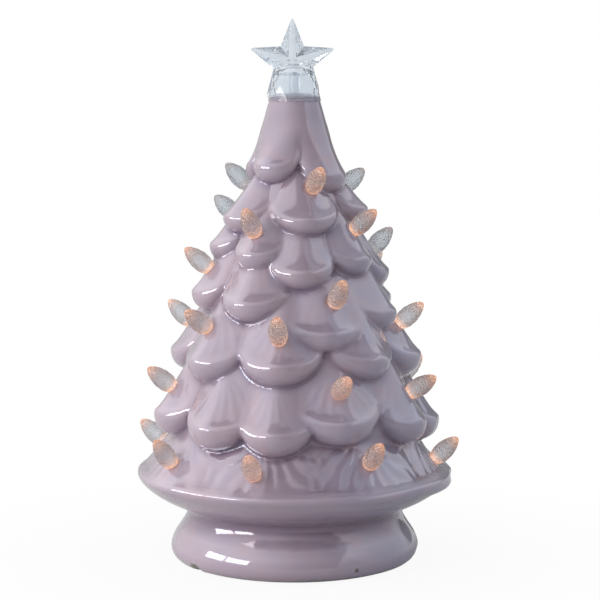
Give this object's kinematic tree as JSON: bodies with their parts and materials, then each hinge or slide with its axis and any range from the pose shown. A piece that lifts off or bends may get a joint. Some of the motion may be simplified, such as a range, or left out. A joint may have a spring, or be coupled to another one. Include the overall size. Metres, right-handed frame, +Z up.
{
  "type": "christmas tree figurine",
  "caption": "Glazed ceramic christmas tree with scalloped boughs, glowing peg bulbs, a lift-off clear star and a battery light unit in its round foot.",
  "frame": {"origin": "on the tree's axis, on the floor under the foot", "axes": "+Z up through the tip, -Y towards the viewer of the picture, +X to their right"},
  "size_m": [0.2134, 0.2119, 0.3558],
  "materials": {
    "glaze": "pale mauve pearl lustre glaze, high gloss",
    "bulb_acrylic": "clear pebbled acrylic lit amber",
    "clear_acrylic": "clear faceted acrylic",
    "white_plastic": "moulded, fine texture",
    "silicone": "cured bead, satin",
    "screw_steel": "plated steel",
    "nickel": "nickel plate",
    "cell_wrap": "printed sleeve, no markings",
    "black_plastic": "moulded",
    "circuit_board": "solder mask on glass fibre laminate",
    "lamp_lens": "clear warm lens",
    "lead_insulation": "soft insulation"
  },
  "bodies": {
    "tree": {"ceramic_tree": "glaze", "bulb_01": "bulb_acrylic", "bulb_02": "bulb_acrylic", "bulb_03": "bulb_acrylic", "bulb_04": "bulb_acrylic", "bulb_05": "bulb_acrylic", "bulb_06": "bulb_acrylic", "bulb_07": "bulb_acrylic", "bulb_08": "bulb_acrylic", "bulb_09": "bulb_acrylic", "bulb_10": "bulb_acrylic", "bulb_11": "bulb_acrylic", "bulb_12": "bulb_acrylic", "bulb_13": "bulb_acrylic", "bulb_14": "bulb_acrylic", "bulb_15": "bulb_acrylic", "bulb_16": "bulb_acrylic", "bulb_17": "bulb_acrylic", "bulb_18": "bulb_acrylic", "bulb_19": "bulb_acrylic", "bulb_20": "bulb_acrylic", "bulb_21": "bulb_acrylic", "bulb_22": "bulb_acrylic", "bulb_23": "bulb_acrylic", "bulb_24": "bulb_acrylic", "bulb_25": "bulb_acrylic", "bulb_26": "bulb_acrylic", "bulb_27": "bulb_acrylic", "bulb_28": "bulb_acrylic", "bulb_29": "bulb_acrylic", "bulb_30": "bulb_acrylic", "bottom_plate": "white_plastic", "plate_bead": "silicone", "battery_box": "white_plastic", "box_screw_01": "screw_steel", "box_screw_02": "screw_steel", "contact_spring_01": "nickel", "contact_spring_02": "nickel", "contact_spring_03": "nickel", "cell_01": "cell_wrap", "cell_02": "cell_wrap", "cell_03": "cell_wrap", "contact_plate_01": "nickel", "contact_plate_02": "nickel", "contact_plate_03": "nickel", "switch_housing": "black_plastic", "light_board": "circuit_board", "timer_chip": "black_plastic", "lamp_01": "lamp_lens", "lamp_02": "lamp_lens", "lamp_03": "lamp_lens", "lamp_04": "lamp_lens", "lamp_05": "lamp_lens", "switch_lead_01": "lead_insulation", "switch_lead_02": "lead_insulation"},
    "star": {"star_topper": "clear_acrylic"},
    "door": {"battery_door": "white_plastic"},
    "knob": {"switch_knob": "black_plastic"}
  },
  "joints": [
    {"name": "star_lift", "type": "slide", "parent": "tree", "child": "star", "axis": [0, 0, 1], "range_m": [0, 0.015]},
    {"name": "door_slide", "type": "slide", "parent": "tree", "child": "door", "axis": [1, 0, 0], "range_m": [0, 0.012]},
    {"name": "switch_slide", "type": "slide", "parent": "tree", "child": "knob", "axis": [1, 0, 0], "range_m": [-0.0025, 0.0025]}
  ]
}
